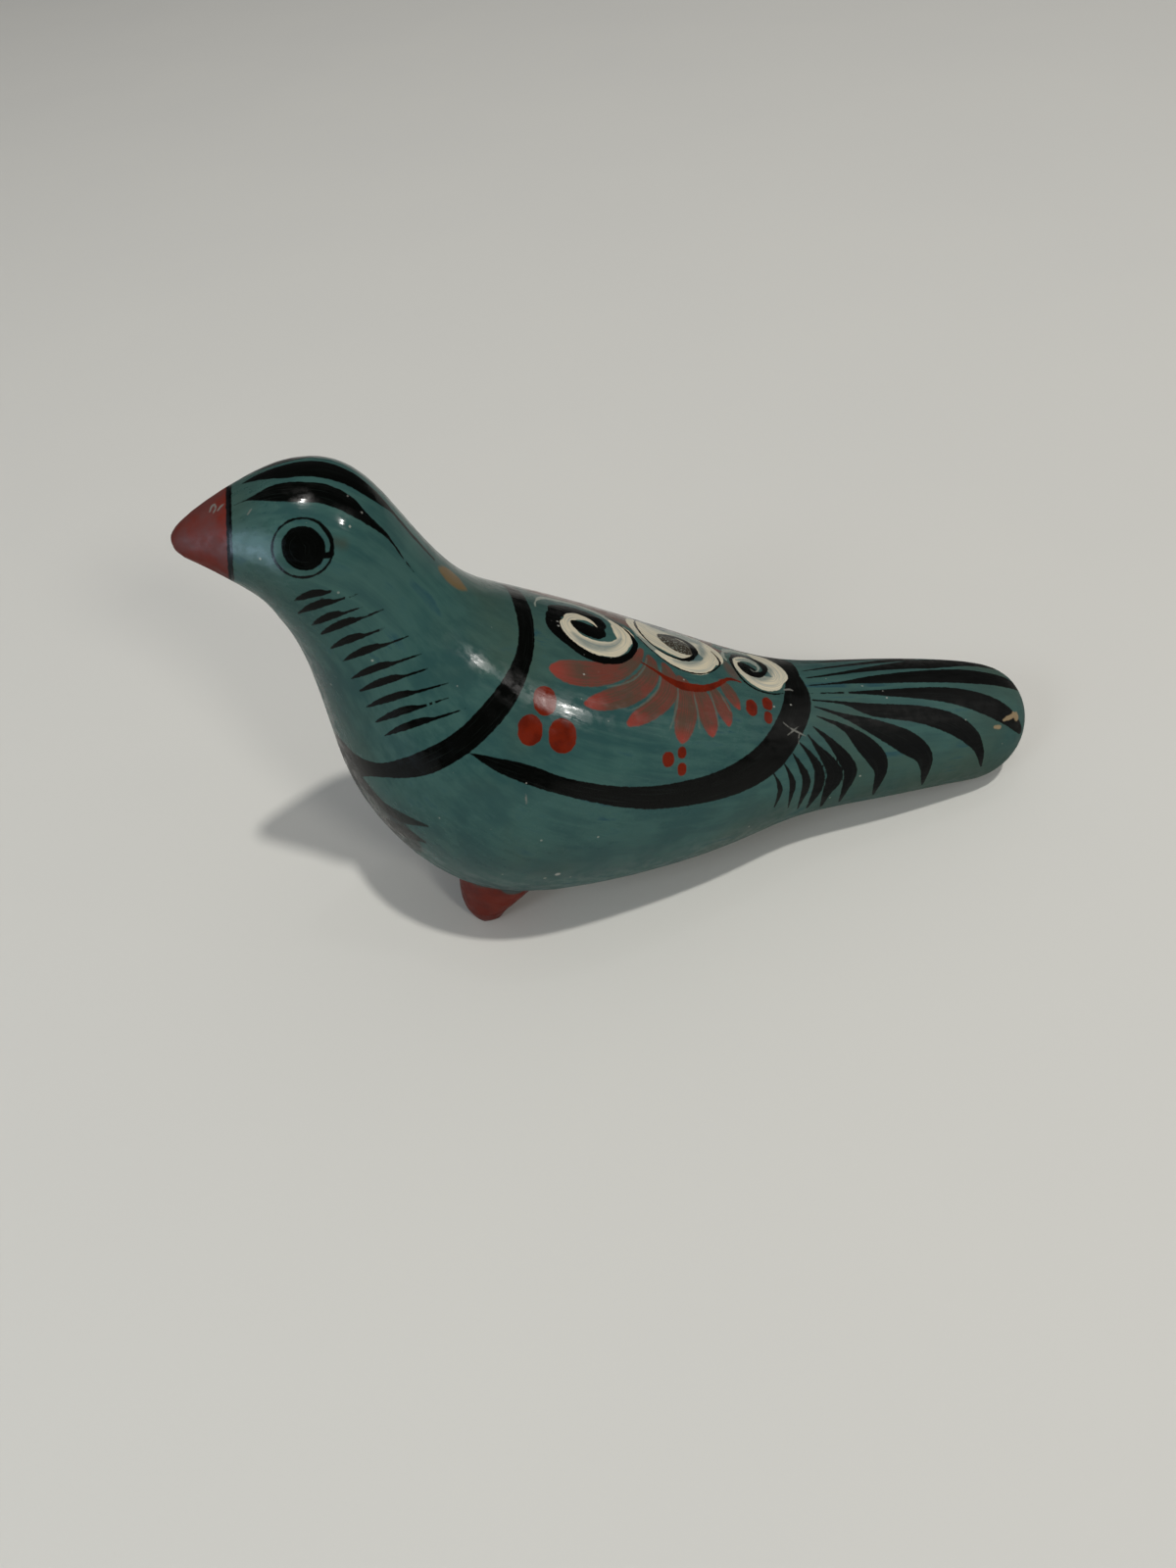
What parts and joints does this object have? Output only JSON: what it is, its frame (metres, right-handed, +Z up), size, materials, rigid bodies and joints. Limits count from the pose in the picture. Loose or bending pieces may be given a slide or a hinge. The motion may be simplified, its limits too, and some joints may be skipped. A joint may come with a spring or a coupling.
{
  "type": "clay bird figurine",
  "caption": "Painted and burnished clay bird with a domed tail, resting on two peg feet and its tail.",
  "frame": {"origin": "on the table, under the middle of the bird's bounding box", "axes": "+Z up, +X from the beak to the tail, +Y across the bird to its right side; the XZ plane is its mirror plane"},
  "size_m": [0.1796, 0.068, 0.1189],
  "materials": {
    "bird": "burnished blue-green slip with black, white and brick-red brushwork"
  },
  "bodies": {
    "root": {"bird": "bird"}
  },
  "joints": []
}
